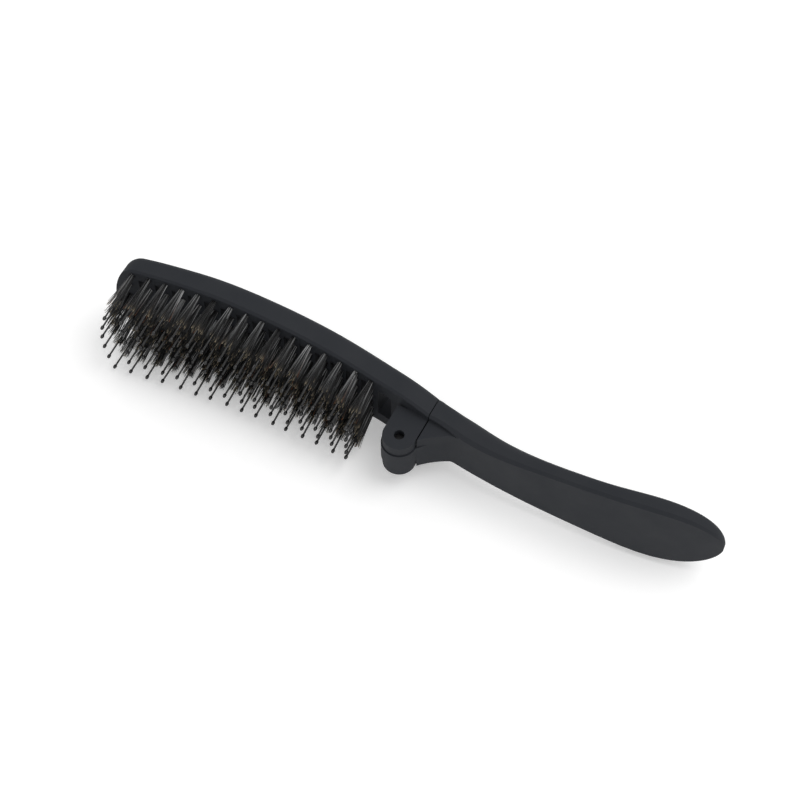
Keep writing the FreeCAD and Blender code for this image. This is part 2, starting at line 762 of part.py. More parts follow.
pieces = make_pieces()
check(pieces)
hinge = move_to_origin(pieces)
check(pieces)
write(pieces)
print(f"hinge axis at x {hinge.x:.3f}, y {hinge.y:.3f}, mid-plane at z {hinge.z:.3f} mm")
print(f"{len(pieces)} pieces, {sum(len(piece.Shape.Solids) for piece in pieces)} solids")
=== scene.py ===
"""Looks of the folding scalp brush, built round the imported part.

The head and the handle are merged, smoothly shaded copies of their solids in a soft-touch black.
Geometry Nodes grow the bristles of every tuft and set the ball-tipped pins.
"""

import json
import logging
import math
from dataclasses import dataclass, field
from enum import Enum
from functools import reduce
from typing import Iterable, Union

import bmesh
import bpy
from bmesh.types import BMVert, BMesh
from bpy.types import Material, Mesh, Modifier, Node, NodeSocket, NodeTree, Object
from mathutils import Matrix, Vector


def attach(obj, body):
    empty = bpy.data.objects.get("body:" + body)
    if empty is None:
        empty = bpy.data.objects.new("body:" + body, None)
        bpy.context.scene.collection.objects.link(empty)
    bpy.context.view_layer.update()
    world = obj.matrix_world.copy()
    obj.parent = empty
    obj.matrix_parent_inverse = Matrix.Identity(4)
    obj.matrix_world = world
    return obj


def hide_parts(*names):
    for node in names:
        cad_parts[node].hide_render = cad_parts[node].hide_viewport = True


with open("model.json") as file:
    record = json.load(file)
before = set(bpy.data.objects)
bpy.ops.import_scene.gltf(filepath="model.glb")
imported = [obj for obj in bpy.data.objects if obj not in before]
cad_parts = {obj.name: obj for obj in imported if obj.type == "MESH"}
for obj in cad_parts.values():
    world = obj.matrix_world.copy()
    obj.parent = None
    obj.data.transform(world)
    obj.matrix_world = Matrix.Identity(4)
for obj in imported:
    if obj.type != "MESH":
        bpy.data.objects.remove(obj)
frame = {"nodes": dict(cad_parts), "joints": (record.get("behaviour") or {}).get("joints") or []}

LOG = logging.getLogger("scalp_brush")
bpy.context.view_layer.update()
MM = 0.001
WELD = 0.002 * MM
SLIVER = 0.0005 * MM
RING_DEPTH = 0.2 * MM
HALF = 0.5
GOLDEN_ANGLE = math.pi * (3 - math.sqrt(5))

Colour = tuple[float, float, float]
Place = tuple[float, float, float]
Key = Union[str, int]
Feed = Union[NodeSocket, float, int, bool, str, tuple, Vector, Material]
Feeds = dict[Key, Feed]

WHITE: Colour = (1.0, 1.0, 1.0)
UP: Place = (0.0, 0.0, 1.0)


class Body(Enum):
    """The two bodies of the part."""

    HEAD = "head"
    HANDLE = "handle"


class Slot(Enum):
    """The finishes that the record names and that a dressed piece takes."""

    SOFT_BLACK = "soft_black"
    PIN_STEEL = "pin_steel"
    BOAR_BRISTLE = "boar_bristle"
    BLACK_NYLON = "black_nylon"


class End(Enum):
    """The two ends of a tuft or a pin, and the way that each faces along Y."""

    ROOT = 1
    TIP = -1


class Socket(Enum):
    """The kinds of socket on a node group."""

    GEOMETRY = "NodeSocketGeometry"
    NUMBER = "NodeSocketFloat"
    WHOLE = "NodeSocketInt"
    VECTOR = "NodeSocketVector"
    FINISH = "NodeSocketMaterial"


Face = dict[Socket, tuple[str, ...]]


class Stored(Enum):
    """The kinds of value that a point can carry."""

    NUMBER = "FLOAT"
    VECTOR = "FLOAT_VECTOR"


class Draw(Enum):
    """The random draws of a strand, each a step of its own from the seed."""

    TURN = 1
    LENGTH = 2
    STRAY = 3
    CURL = 4
    TONE = 5
    GIRTH = 6


class NodeBench:
    """Adds nodes to one tree and joins their sockets."""

    def __init__(self, tree: NodeTree) -> None:
        """Keeps the tree that the nodes go into."""
        self.tree = tree

    @staticmethod
    def socket(sockets: Iterable[NodeSocket], key: Key) -> NodeSocket:
        """Gives a node's socket by its name, or by its number among those in use."""
        used = [s for s in sockets if not s.is_unavailable]
        return used[key] if isinstance(key, int) else next(s for s in used if s.name == key)

    def feed(self, node: Node, feeds: Feeds) -> None:
        """Links or sets some of a node's inputs.

        Args:
            node: the node.
            feeds: a socket to link from or a plain value for each input, by its name or number.
        """
        for key, value in feeds.items():
            target = self.socket(node.inputs, key)
            if isinstance(value, NodeSocket):
                self.tree.links.new(value, target)
            else:
                target.default_value = value

    def add(self, kind: str, feeds: Feeds | None = None, **settings: object) -> Node:
        """Adds one node.

        Args:
            kind: Blender's name for the node's type.
            feeds: a socket or a plain value for each input, by its name or number.
            settings: the node's own properties.

        Returns:
            The new node.
        """
        node = self.tree.nodes.new(kind)
        for name, value in settings.items():
            setattr(node, name, value)
        self.feed(node, feeds or {})
        return node

    def out(
        self, kind: str, feeds: Feeds | None = None, pick: Key = 0, **settings: object
    ) -> NodeSocket:
        """Adds one node and gives one of its outputs.

        Args:
            kind: Blender's name for the node's type.
            feeds: the values of its inputs.
            pick: the output's name, or its number among those in use.
            settings: the node's own properties.

        Returns:
            The output socket.
        """
        return self.socket(self.add(kind, feeds, **settings).outputs, pick)

    def math(self, operation: str, *values: Feed) -> NodeSocket:
        """Gives the result of a Math node on the values."""
        return self.out("ShaderNodeMath", dict(enumerate(values)), operation=operation)

    def product(self, *values: Feed) -> NodeSocket:
        """Gives the product of several numbers."""
        return reduce(lambda first, second: self.math("MULTIPLY", first, second), values)

    def vector(self, operation: str, *values: Feed) -> NodeSocket:
        """Gives the result of a Vector Math node on the values, be it a vector or a number."""
        return self.out("ShaderNodeVectorMath", dict(enumerate(values)), operation=operation)

    def total(self, *vectors: Feed) -> NodeSocket:
        """Gives the sum of several vectors."""
        return reduce(lambda first, second: self.vector("ADD", first, second), vectors)

    def scaled(self, vector: Feed, factor: Feed) -> NodeSocket:
        """Gives a vector times a number."""
        feeds = {"Vector": vector, "Scale": factor}
        return self.out("ShaderNodeVectorMath", feeds, operation="SCALE")

    def ranged(
        self, value: Feed, low: Feed, high: Feed, start: Feed = 0.0, end: Feed = 1.0
    ) -> NodeSocket:
        """Spreads what lies between start and end over low to high."""
        feeds = {"Value": value, "From Min": start, "From Max": end, "To Min": low, "To Max": high}
        return self.out("ShaderNodeMapRange", feeds)

    def mixed(self, share: Feed, first: Feed, second: Feed) -> NodeSocket:
        """Gives a colour between two colours."""
        feeds = {"Factor": share, "A": first, "B": second}
        return self.out("ShaderNodeMix", feeds, data_type="RGBA")


class GroupBench(NodeBench):
    """A bench on a new node group with named inputs and outputs."""

    def __init__(self, name: str, kind: str, takes: Face, gives: Face) -> None:
        """Starts the group.

        Args:
            name: the group's name.
            kind: ShaderNodeTree or GeometryNodeTree.
            takes: the names of its inputs, by their kind.
            gives: the names of its outputs, by their kind.
        """
        super().__init__(bpy.data.node_groups.new(name, kind))
        for face, side in ((takes, "INPUT"), (gives, "OUTPUT")):
            for socket, labels in face.items():
                for label in labels:
                    self.tree.interface.new_socket(label, in_out=side, socket_type=socket.value)
        self.take = self.add("NodeGroupInput").outputs
        self.result = self.add("NodeGroupOutput")

    def give(self, feeds: Feeds) -> NodeTree:
        """Links the group's outputs and gives the whole group."""
        self.feed(self.result, feeds)
        return self.tree

    def store(self, geometry: NodeSocket, name: str, value: Feed, kind: Stored) -> NodeSocket:
        """Stores a value on every point under a name.

        Args:
            geometry: the points.
            name: the value's name.
            value: the value.
            kind: what it is.

        Returns:
            The points with the value.
        """
        feeds = {"Geometry": geometry, "Name": name, "Value": value}
        settings = {"data_type": kind.value, "domain": "POINT"}
        return self.out("GeometryNodeStoreNamedAttribute", feeds, **settings)

    def named(self, name: str, kind: Stored = Stored.NUMBER) -> NodeSocket:
        """Reads a stored value."""
        return self.out("GeometryNodeInputNamedAttribute", {"Name": name}, data_type=kind.value)

    def chance(self, draw: Draw, number: Feed, low: Feed, high: Feed) -> NodeSocket:
        """Draws a random number or vector for each point from the group's seed.

        Args:
            draw: which draw, so that no two are the same.
            number: what the draw goes by, such as the point's number.
            low: the least value, a number or a vector.
            high: the greatest value.

        Returns:
            The drawn value.
        """
        kind = Stored.VECTOR if isinstance(low, tuple) else Stored.NUMBER
        seed = self.math("ADD", self.take["Seed"], float(draw.value))
        feeds = {"Min": low, "Max": high, "ID": number, "Seed": seed}
        return self.out("FunctionNodeRandomValue", feeds, data_type=kind.value)

    def finished(self, geometry: NodeSocket) -> NodeSocket:
        """Shades a grown row smooth, makes it one mesh and gives it the group's finish.

        Args:
            geometry: the grown row.

        Returns:
            The finished row.
        """
        smooth = self.out("GeometryNodeSetShadeSmooth", {"Geometry": geometry})
        plain = self.out("GeometryNodeRealizeInstances", {"Geometry": smooth})
        feeds = {"Geometry": plain, "Material": self.take["Finish"]}
        return self.out("GeometryNodeSetMaterial", feeds)


def opaque(colour: Colour) -> tuple[float, float, float, float]:
    """Gives the colour with full alpha."""
    return (*colour, 1.0)


def eased(share: float) -> float:
    """Turns an even run from 0 to 1 into one with a soft start and a soft end."""
    return share * share * (3 - 2 * share)


@dataclass
class Effects:
    """Shader groups that several finishes share, each built once."""

    fine_detail: float = 2.0
    pit_share: float = 0.5
    cloud_detail: float = 4.0
    cloud_rough: float = 0.6
    cloud_low: float = 0.32
    cloud_high: float = 0.68
    edge_samples: int = 4
    flat_likeness: float = 0.995
    edge_likeness: float = 0.86
    grain: NodeTree = field(init=False)
    # mask of the edges, where the painted highlight is mixed into the colour
    edge: NodeTree = field(init=False)

    def __post_init__(self) -> None:
        """Builds the groups."""
        self.grain = self.build_grain()
        self.edge = self.build_edge()

    def build_grain(self) -> NodeTree:
        """Builds the fine grain and cloudy tone of a moulded or coated surface.

        Returns:
            The group, which takes a place and two scales and gives a height and a mask.
        """
        bench = GroupBench(
            "moulded_grain",
            "ShaderNodeTree",
            {Socket.VECTOR: ("Place",), Socket.NUMBER: ("Grain Scale", "Cloud Scale")},
            {Socket.NUMBER: ("Height", "Cloud")},
        )
        spots = {"Vector": bench.take["Place"], "Scale": bench.take["Grain Scale"]}
        patches = {"Vector": bench.take["Place"], "Scale": bench.take["Cloud Scale"]}
        patches |= {"Detail": self.cloud_detail, "Roughness": self.cloud_rough}
        fine = bench.out("ShaderNodeTexNoise", spots | {"Detail": self.fine_detail})
        pits = bench.out("ShaderNodeTexVoronoi", spots)
        height = bench.math("MULTIPLY_ADD", pits, self.pit_share, fine)
        cloud = bench.out("ShaderNodeTexNoise", patches)
        cloud = bench.ranged(cloud, 0.0, 1.0, self.cloud_low, self.cloud_high)
        return bench.give({"Height": height, "Cloud": cloud})

    def build_edge(self) -> NodeTree:
        """Builds the mask of the edges, where a painted highlight lightens the colour.

        Returns:
            The group, which takes a radius and gives a mask.
        """
        takes, gives = {Socket.NUMBER: ("Radius",)}, {Socket.NUMBER: ("Mask",)}
        bench = GroupBench("edge_polish", "ShaderNodeTree", takes, gives)
        radius = {"Radius": bench.take["Radius"]}
        rounded = bench.out("ShaderNodeBevel", radius, samples=self.edge_samples)
        true = bench.out("ShaderNodeNewGeometry", pick="Normal")
        likeness = bench.vector("DOT_PRODUCT", rounded, true)
        mask = bench.ranged(likeness, 0.0, 1.0, self.flat_likeness, self.edge_likeness)
        return bench.give({"Mask": mask})


@dataclass(frozen=True)
class Finish:
    """A base for the finishes: starts a material and gives its bench and Principled shader."""

    name: str

    def start(self) -> tuple[Material, NodeBench, Node]:
        """Starts the material.

        Returns:
            The material, a bench on its tree and its Principled shader.
        """
        material = bpy.data.materials.new(self.name)
        material.use_nodes = True
        shader = next(n for n in material.node_tree.nodes if n.type == "BSDF_PRINCIPLED")
        return material, NodeBench(material.node_tree), shader

    @staticmethod
    def place(bench: NodeBench) -> NodeSocket:
        """Gives the Object coordinates."""
        return bench.out("ShaderNodeTexCoord", pick="Object")


@dataclass(frozen=True)
class MouldedFinish(Finish):
    """A coated or bare moulded surface, with fine grain, cloudy tone and a painted highlight along
    its edges.
    """

    low: Colour
    high: Colour
    # lighter colour of the painted highlight along the edges
    edge: Colour
    rough_low: float
    rough_high: float
    grain_scale: float
    grain_depth: float
    cloud_scale: float
    edge_radius: float
    edge_share: float
    specular: float
    metallic: float = 0.0

    def make(self, effects: Effects) -> Material:
        """Builds the material.

        Args:
            effects: the shared shader groups.

        Returns:
            The material.
        """
        material, bench, shader = self.start()
        scales = {"Grain Scale": self.grain_scale, "Cloud Scale": self.cloud_scale}
        feeds = {"Place": self.place(bench)} | scales
        grain = bench.add("ShaderNodeGroup", feeds, node_tree=effects.grain).outputs
        edge = bench.out("ShaderNodeGroup", {"Radius": self.edge_radius}, node_tree=effects.edge)
        tone = bench.mixed(grain["Cloud"], opaque(self.low), opaque(self.high))
        # painted highlight: the lighter edge colour is mixed into the base colour along the edges
        edge_highlight = bench.product(edge, self.edge_share)
        relief = {"Height": grain["Height"], "Distance": self.grain_depth}
        bench.feed(
            shader,
            {
                "Base Color": bench.mixed(edge_highlight, tone, opaque(self.edge)),
                "Roughness": bench.ranged(grain["Cloud"], self.rough_low, self.rough_high),
                "Normal": bench.out("ShaderNodeBump", relief),
                "Metallic": self.metallic,
                "Specular IOR Level": self.specular,
            },
        )
        return material


@dataclass(frozen=True)
class BristleFinish(Finish):
    """Boar bristle: black strands with tan ends and a few red-brown ones; some strands carry a
    light grey painted highlight that fades from the root.
    """

    dark: Colour
    # light grey of the painted highlight along some strands
    grey: Colour
    end: Colour
    red: Colour
    end_share: float
    red_share: float
    rough_low: float
    rough_high: float
    specular: float
    grey_power: float = 5.0
    end_power: float = 22.0
    red_power: float = 3.0
    fleck_scale: float = 900.0
    fleck_detail: float = 2.0

    def make(self) -> Material:
        """Builds the material, which reads the tone and along attributes of each strand.

        Returns:
            The material.
        """
        material, bench, shader = self.start()
        tone, along = (
            bench.out("ShaderNodeAttribute", pick="Fac", attribute_name=name)
            for name in ("tone", "along")
        )
        rootward = bench.math("SUBTRACT", 1.0, along)
        # painted highlight: strands with a high tone turn light grey, most at the root and fading
        # towards the tip
        strand_highlight = bench.product(bench.math("POWER", tone, self.grey_power), rootward)
        tanned = bench.product(
            bench.math("LESS_THAN", tone, self.end_share),
            bench.math("POWER", along, self.end_power),
        )
        reddish = bench.product(
            bench.math("GREATER_THAN", tone, 1.0 - self.red_share),
            bench.math("POWER", along, self.red_power),
        )
        colour = bench.mixed(strand_highlight, opaque(self.dark), opaque(self.grey))
        colour = bench.mixed(tanned, colour, opaque(self.end))
        spots = {"Vector": self.place(bench), "Scale": self.fleck_scale}
        flecks = bench.out("ShaderNodeTexNoise", spots | {"Detail": self.fleck_detail})
        bench.feed(
            shader,
            {
                "Base Color": bench.mixed(reddish, colour, opaque(self.red)),
                "Roughness": bench.ranged(flecks, self.rough_low, self.rough_high),
                "Specular IOR Level": self.specular,
            },
        )
        return material


@dataclass(frozen=True)
class Palette:
    """Every finish of the brush."""

    soft_black: MouldedFinish = MouldedFinish(
        name="soft_touch_black",
        low=(0.0078, 0.0096, 0.0134),
        high=(0.0092, 0.0112, 0.0153),
        # colour of the painted highlight along the edges
        edge=(0.018, 0.021, 0.026),
        rough_low=0.72,
        rough_high=0.82,
        grain_scale=5200.0,
        grain_depth=0.006 * MM,
        cloud_scale=70.0,
        edge_radius=0.45 * MM,
        edge_share=0.35,
        specular=0.38,
    )
    pin_steel: MouldedFinish = MouldedFinish(
        name="blackened_steel",
        low=(0.012, 0.012, 0.013),
        high=(0.022, 0.022, 0.022),
        # colour of the painted highlight along the edges
        edge=(0.06, 0.06, 0.06),
        rough_low=0.32,
        rough_high=0.48,
        grain_scale=2600.0,
        grain_depth=0.004 * MM,
        cloud_scale=500.0,
        edge_radius=0.2 * MM,
        edge_share=0.5,
        specular=0.5,
        metallic=1.0,
    )
    black_nylon: MouldedFinish = MouldedFinish(
        name="smooth_nylon",
        low=(0.0045, 0.0045, 0.0050),
        high=(0.0085, 0.0085, 0.0090),
        # colour of the painted highlight along the edges
        edge=(0.012, 0.012, 0.012),
        rough_low=0.22,
        rough_high=0.34,
        grain_scale=3000.0,
        grain_depth=0.002 * MM,
        cloud_scale=600.0,
        edge_radius=0.1 * MM,
        edge_share=0.2,
        specular=0.5,
    )
    anchor_wire: MouldedFinish = MouldedFinish(
        name="brass_wire",
        low=(0.45, 0.36, 0.20),
        high=(0.55, 0.45, 0.27),
        # colour of the painted highlight along the edges
        edge=(0.65, 0.56, 0.38),
        rough_low=0.30,
        rough_high=0.42,
        grain_scale=3000.0,
        grain_depth=0.004 * MM,
        cloud_scale=400.0,
        edge_radius=0.1 * MM,
        edge_share=0.5,
        specular=0.5,
        metallic=1.0,
    )
    boar_bristle: BristleFinish = BristleFinish(
        name="natural_bristle",
        dark=(0.0048, 0.0048, 0.0052),
        # light grey of the painted highlight along the strands
        grey=(0.80, 0.81, 0.82),
        end=(0.340, 0.285, 0.200),
        red=(0.16, 0.060, 0.025),
        end_share=0.34,
        red_share=0.025,
        rough_low=0.30,
        rough_high=0.48,
        specular=0.36,
    )


def merged_mesh(node: str) -> BMesh:
    """Gives a copy of a CAD node's mesh with the borders of its faces joined.

    Args:
        node: the CAD node.

    Returns:
        The merged copy.
    """
    work = bmesh.new()
    work.from_mesh(frame["nodes"][node].data)
    bmesh.ops.remove_doubles(work, verts=work.verts, dist=WELD)
    bmesh.ops.dissolve_degenerate(work, dist=SLIVER, edges=work.edges)
    return work


def islands(node: str) -> list[list[Vector]]:
    """Gives the points of each separate solid in a CAD node.

    Args:
        node: the CAD node.

    Returns:
        One list of points for each solid.
    """
    work = merged_mesh(node)
    seen: set[BMVert] = set()
    found: list[list[Vector]] = []
    for start in work.verts:
        if start in seen:
            continue
        seen.add(start)
        queue = [start]
        points: list[Vector] = []
        while queue:
            vertex = queue.pop()
            points.append(vertex.co.copy())
            for link in vertex.link_edges:
                other = link.other_vert(vertex)
                if other not in seen:
                    seen.add(other)
                    queue.append(other)
        found.append(points)
    work.free()
    return found


def end_ring(points: list[Vector], end: End) -> list[Vector]:
    """Gives the points at one end of a tuft or a pin.

    Args:
        points: the solid's points.
        end: which end.

    Returns:
        The points of that end.
    """
    last = max(end.value * p.y for p in points)
    return [p for p in points if end.value * p.y > last - RING_DEPTH]


def middle(points: list[Vector]) -> Vector:
    """Gives the mean of some points."""
    return sum(points, Vector()) / len(points)


def link_object(name: str, mesh: Mesh) -> Object:
    """Puts a mesh into the scene as an object at the origin.

    Args:
        name: the object's name.
        mesh: its mesh.

    Returns:
        The object.
    """
    obj = bpy.data.objects.new(name, mesh)
    bpy.context.scene.collection.objects.link(obj)
    return obj


def keep_result(obj: Object, modifier: Modifier) -> None:
    """Makes a modifier's result the object's plain mesh, and removes the modifier.

    Args:
        obj: the object.
        modifier: its one modifier.
    """
    bpy.context.view_layer.update()
    graph = bpy.context.evaluated_depsgraph_get()
    before = obj.data
    after = bpy.data.meshes.new_from_object(
        obj.evaluated_get(graph), preserve_all_data_layers=True, depsgraph=graph
    )
    obj.modifiers.remove(modifier)
    obj.data = after
    bpy.data.meshes.remove(before)
    after.name = obj.name


def grow(obj: Object, tree: NodeTree, values: dict[str, Feed]) -> None:
    """Runs a Geometry Nodes tree on an object and keeps the result as its plain mesh.

    Args:
        obj: the object that holds the points.
        tree: the tree.
        values: the tree's inputs, by name.
    """
    modifier = obj.modifiers.new(tree.name, "NODES")
    modifier.node_group = tree
    for item in tree.interface.items_tree:
        if item.item_type == "SOCKET" and item.in_out == "INPUT" and item.name in values:
            modifier[item.identifier] = values[item.name]
    keep_result(obj, modifier)


def seat(obj: Object, body: Body, node: str, slot: Slot) -> None:
    """Puts a dressed piece on its body, in place of its CAD node.

    Args:
        obj: the piece.
        body: the body that it rides on.
        node: the CAD node that it stands for.
        slot: its finish in the record; not used.
    """
    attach(obj, body.value)
    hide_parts(node)
    LOG.info("%s: %d faces on %s", obj.name, len(obj.data.polygons), body.value)


@dataclass
class SetRow:
    """One row of set pieces, as the frame has them: their roots, their axis and their length."""

    roots: list[Vector]
    axis: Vector
    length: float
    root_radius: float
    tip_radius: float

    @classmethod
    def read(cls, node: str) -> "SetRow":
        """Reads the row from a CAD node.

        Args:
            node: the CAD node.

        Returns:
            The row.
        """
        solids = islands(node)
        roots = [middle(end_ring(points, End.ROOT)) for points in solids]
        tips = [middle(end_ring(points, End.TIP)) for points in solids]
        span = middle([tip - root for tip, root in zip(tips, roots)])
        first_root, first_tip = (end_ring(solids[0], end) for end in End)
        return cls(
            roots=roots,
            axis=span.normalized(),
            length=span.length,
            root_radius=max((p - roots[0]).length for p in first_root),
            tip_radius=max((p - tips[0]).length for p in first_tip),
        )

    def start_object(self, name: str) -> Object:
        """Makes an object with a point at each root.

        Args:
            name: the object's name.

        Returns:
            The object.
        """
        mesh = bpy.data.meshes.new(name)
        mesh.from_pydata(self.roots, [], [])
        return link_object(name, mesh)


@dataclass
class Moulding:
    """A rigid moulding: a merged copy of its CAD node, shaded smooth up to its real edges."""

    node: str
    piece: str
    body: Body
    slot: Slot
    sharp_angle: float = math.radians(30)

    def build(self) -> Object:
        """Builds the piece.

        Returns:
            The piece, with normals that keep its flat faces flat.
        """
        work = merged_mesh(self.node)
        self.shape(work)
        for edge in work.edges:
            edge.smooth = edge.is_manifold and edge.calc_face_angle(math.pi) < self.sharp_angle
        for face in work.faces:
            face.smooth = True
        rough = bpy.data.meshes.new(self.piece)
        work.to_mesh(rough)
        work.free()
        for layer in [a.name for a in rough.attributes if a.name == "custom_normal"]:
            rough.attributes.remove(rough.attributes[layer])
        rough.materials.clear()
        obj = link_object(self.piece, rough)
        even = obj.modifiers.new("even_normals", "WEIGHTED_NORMAL")
        even.mode = "FACE_AREA_WITH_ANGLE"
        even.keep_sharp = True
        keep_result(obj, even)
        return obj

    def shape(self, work: BMesh) -> None:
        """Leaves the merged copy's shape as it is; a piece with more to its form changes it."""

    def dress(self, material: Material) -> None:
        """Builds the piece and gives it its finish and its place in the frame.

        Args:
            material: its finish.
        """
        obj = self.build()
        obj.data.materials.append(material)
        seat(obj, self.body, self.node, self.slot)


@dataclass
class HeadMoulding(Moulding):
    """The head, with the edge of its back rounded round the tip and its sides level."""

    hinge: Vector = field(default_factory=Vector)
    reach: float = 106.0 * MM
    half_width: float = 16.8 * MM
    tip_bow: float = 32.0 * MM
    tip_corner: float = 5.0 * MM
    crown_height: float = 21.2 * MM
    crown_place: float = -44.0 * MM
    back_radius: float = 255.0 * MM
    back_facing: float = 0.2
    side_round: float = 2.7 * MM
    tip_round: float = 3.4 * MM
    zone: float = 7.6 * MM
    cut_step: float = 0.36 * MM

    def shape(self, work: BMesh) -> None:
        """Levels the sides, cuts the back finely near the tip and rolls it off along the outline.

        Args:
            work: the merged copy.
        """
        for vertex in work.verts:
            out = vertex.co.z - self.hinge.z
            vertex.co.z = self.hinge.z + max(-self.half_width, min(self.half_width, out))
        bmesh.ops.dissolve_degenerate(work, dist=WELD, edges=work.edges)
        tip = self.hinge.x - self.reach
        for i in range(int(self.zone / self.cut_step) + 1):
            self.cut_back(work, Vector((tip + i * self.cut_step, 0, 0)), Vector((1, 0, 0)))
        count = int(self.half_width / self.cut_step)
        for i in range(-count, count + 1):
            self.cut_back(work, Vector((0, 0, self.hinge.z + i * self.cut_step)), Vector(UP))
        for vertex in work.verts:
            if vertex.co.x < tip + self.zone:
                place = vertex.co - self.hinge
                height = self.hinge.y + self.rolled_height(place.x, abs(place.z))
                vertex.co.y = min(vertex.co.y, height)

    def cut_back(self, work: BMesh, place: Vector, normal: Vector) -> None:
        """Cuts the faces of the back near the tip along a plane.

        Args:
            work: the merged copy.
            place: a point of the plane.
            normal: the plane's normal.
        """
        limit = self.hinge.x - self.reach + self.zone
        faces = [
            face
            for face in work.faces
            if face.normal.y > self.back_facing and min(v.co.x for v in face.verts) < limit
        ]
        edges = {edge for face in faces for edge in face.edges}
        verts = {vertex for face in faces for vertex in face.verts}
        bmesh.ops.bisect_plane(
            work, geom=[*verts, *edges, *faces], dist=WELD, plane_co=place, plane_no=normal
        )

    def rolled_height(self, x: float, z: float) -> float:
        """Gives the height of the rounded back above the hinge axis.

        Args:
            x: the place along the brush, from the hinge axis.
            z: the distance from the middle of the head.

        Returns:
            The height.
        """
        back = self.crown_height - self.back_radius
        back += math.sqrt(self.back_radius**2 - (x - self.crown_place) ** 2)
        share = min(1.0, max(0.0, (self.zone - self.reach - x) / self.zone))
        radius = self.side_round + (self.tip_round - self.side_round) * eased(share)
        inward = min(radius, max(0.0, self.inset(x, z)))
        return back - radius + math.sqrt(radius**2 - (radius - inward) ** 2)

    def inset(self, x: float, z: float) -> float:
        """Gives how far a place lies inside the outline of the tip, seen from the back.

        Args:
            x: the place along the brush, from the hinge axis.
            z: the distance from the middle of the head.

        Returns:
            The distance from the outline.
        """
        bow_x = self.tip_bow - self.reach
        corner_z = self.half_width - self.tip_corner
        corner_x = bow_x - math.sqrt((self.tip_bow - self.tip_corner) ** 2 - corner_z**2)
        out_x, out_z = x - corner_x, z - corner_z
        if out_x <= 0 and (corner_x - bow_x) * out_z <= corner_z * out_x:
            return self.tip_corner - math.hypot(out_x, out_z)
        return min(self.half_width - z, self.tip_bow - math.hypot(x - bow_x, z))


@dataclass
class NeckRing:
    """One cut across the neck: the height of its back, half its width and its corner's size."""

    top: float
    half: float
    corner: float

    def blend(self, other: "NeckRing", share: float) -> "NeckRing":
        """Gives the ring between this one and another."""
        pairs = ((self.top, other.top), (self.half, other.half), (self.corner, other.corner))
        return NeckRing(*(first + (second - first) * share for first, second in pairs))


@dataclass
class HandleMoulding(Moulding):
    """The handle, with the back of its neck carried on straight from the head."""

    hinge: Vector = field(default_factory=Vector)
    neck_start: float = 6.4 * MM
    neck_end: float = 26.0 * MM
    cut_step: float = 0.4 * MM
    ring_margin: float = 0.001
    low_line: float = 9.8 * MM
    seam_corner: float = 2.1 * MM
    corner_reach_down: float = 1.3
    corner_reach_in: float = 1.6
    wall_depth: float = 0.06 * MM
    lift: float = 0.34 * MM
    lift_place: float = 10.2 * MM
    lift_spread: float = 3.8 * MM
    lift_depth: float = 6.0 * MM

    def shape(self, work: BMesh) -> None:
        """Fills the neck's rounded shoulders near the seam, and the dip in its back.

        Args:
            work: the merged copy.
        """
        rings = self.read_rings(work)
        low = self.hinge.y + self.low_line
        last = len(rings) - 1 - self.ring_margin
        for vertex in work.verts:
            place = vertex.co.x - self.hinge.x
            if vertex.co.y > low and self.neck_start < place < self.neck_end:
                step = min((place - self.neck_start) / self.cut_step, last)
                first = int(step)
                self.fill(vertex, place, rings[first].blend(rings[first + 1], step - first))

    def read_rings(self, work: BMesh) -> list[NeckRing]:
        """Cuts a copy of the neck across at even steps.

        Args:
            work: the merged copy of the handle, which stays uncut.

        Returns:
            The rings, from the seam on.
        """
        low = self.hinge.y + self.low_line
        rings: list[NeckRing] = []
        for i in range(int((self.neck_end - self.neck_start) / self.cut_step) + 1):
            probe = work.copy()
            place = Vector((self.hinge.x + self.neck_start + i * self.cut_step, 0, 0))
            cut = bmesh.ops.bisect_plane(
                probe,
                geom=[*probe.verts, *probe.edges, *probe.faces],
                dist=WELD,
                plane_co=place,
                plane_no=Vector((1, 0, 0)),
            )["geom_cut"]
            ring = [e.co for e in cut if isinstance(e, BMVert) and e.co.y > low]
            top = max(p.y for p in ring)
            half = max(abs(p.z - self.hinge.z) for p in ring)
            wall = [p.y for p in ring if half - abs(p.z - self.hinge.z) < self.wall_depth]
            rings.append(NeckRing(top, half, top - max(wall)))
            probe.free()
        return rings

    def fill(self, vertex: BMVert, place: float, ring: NeckRing) -> None:
        """Moves one point of the neck outward.

        Args:
            vertex: the point.
            place: its place along the handle, from the hinge axis.
            ring: the neck there.
        """
        side = 1.0 if vertex.co.z > self.hinge.z else -1.0
        down = ring.top - vertex.co.y
        inward = ring.half - abs(vertex.co.z - self.hinge.z)
        deepest = ring.corner * self.corner_reach_down
        if down < deepest and inward < ring.corner * self.corner_reach_in:
            gone = (place - self.neck_start) / (self.neck_end - self.neck_start)
            least = min(1.0, self.seam_corner / ring.corner)
            kept = least + (1.0 - least) * eased(gone)
            vertex.co.y = ring.top - down * kept
            vertex.co.z = self.hinge.z + side * (ring.half - inward * kept)
        bump = math.exp(-(((place - self.lift_place) / self.lift_spread) ** 2))
        vertex.co.y += self.lift * bump * max(0.0, 1.0 - down / self.lift_depth)


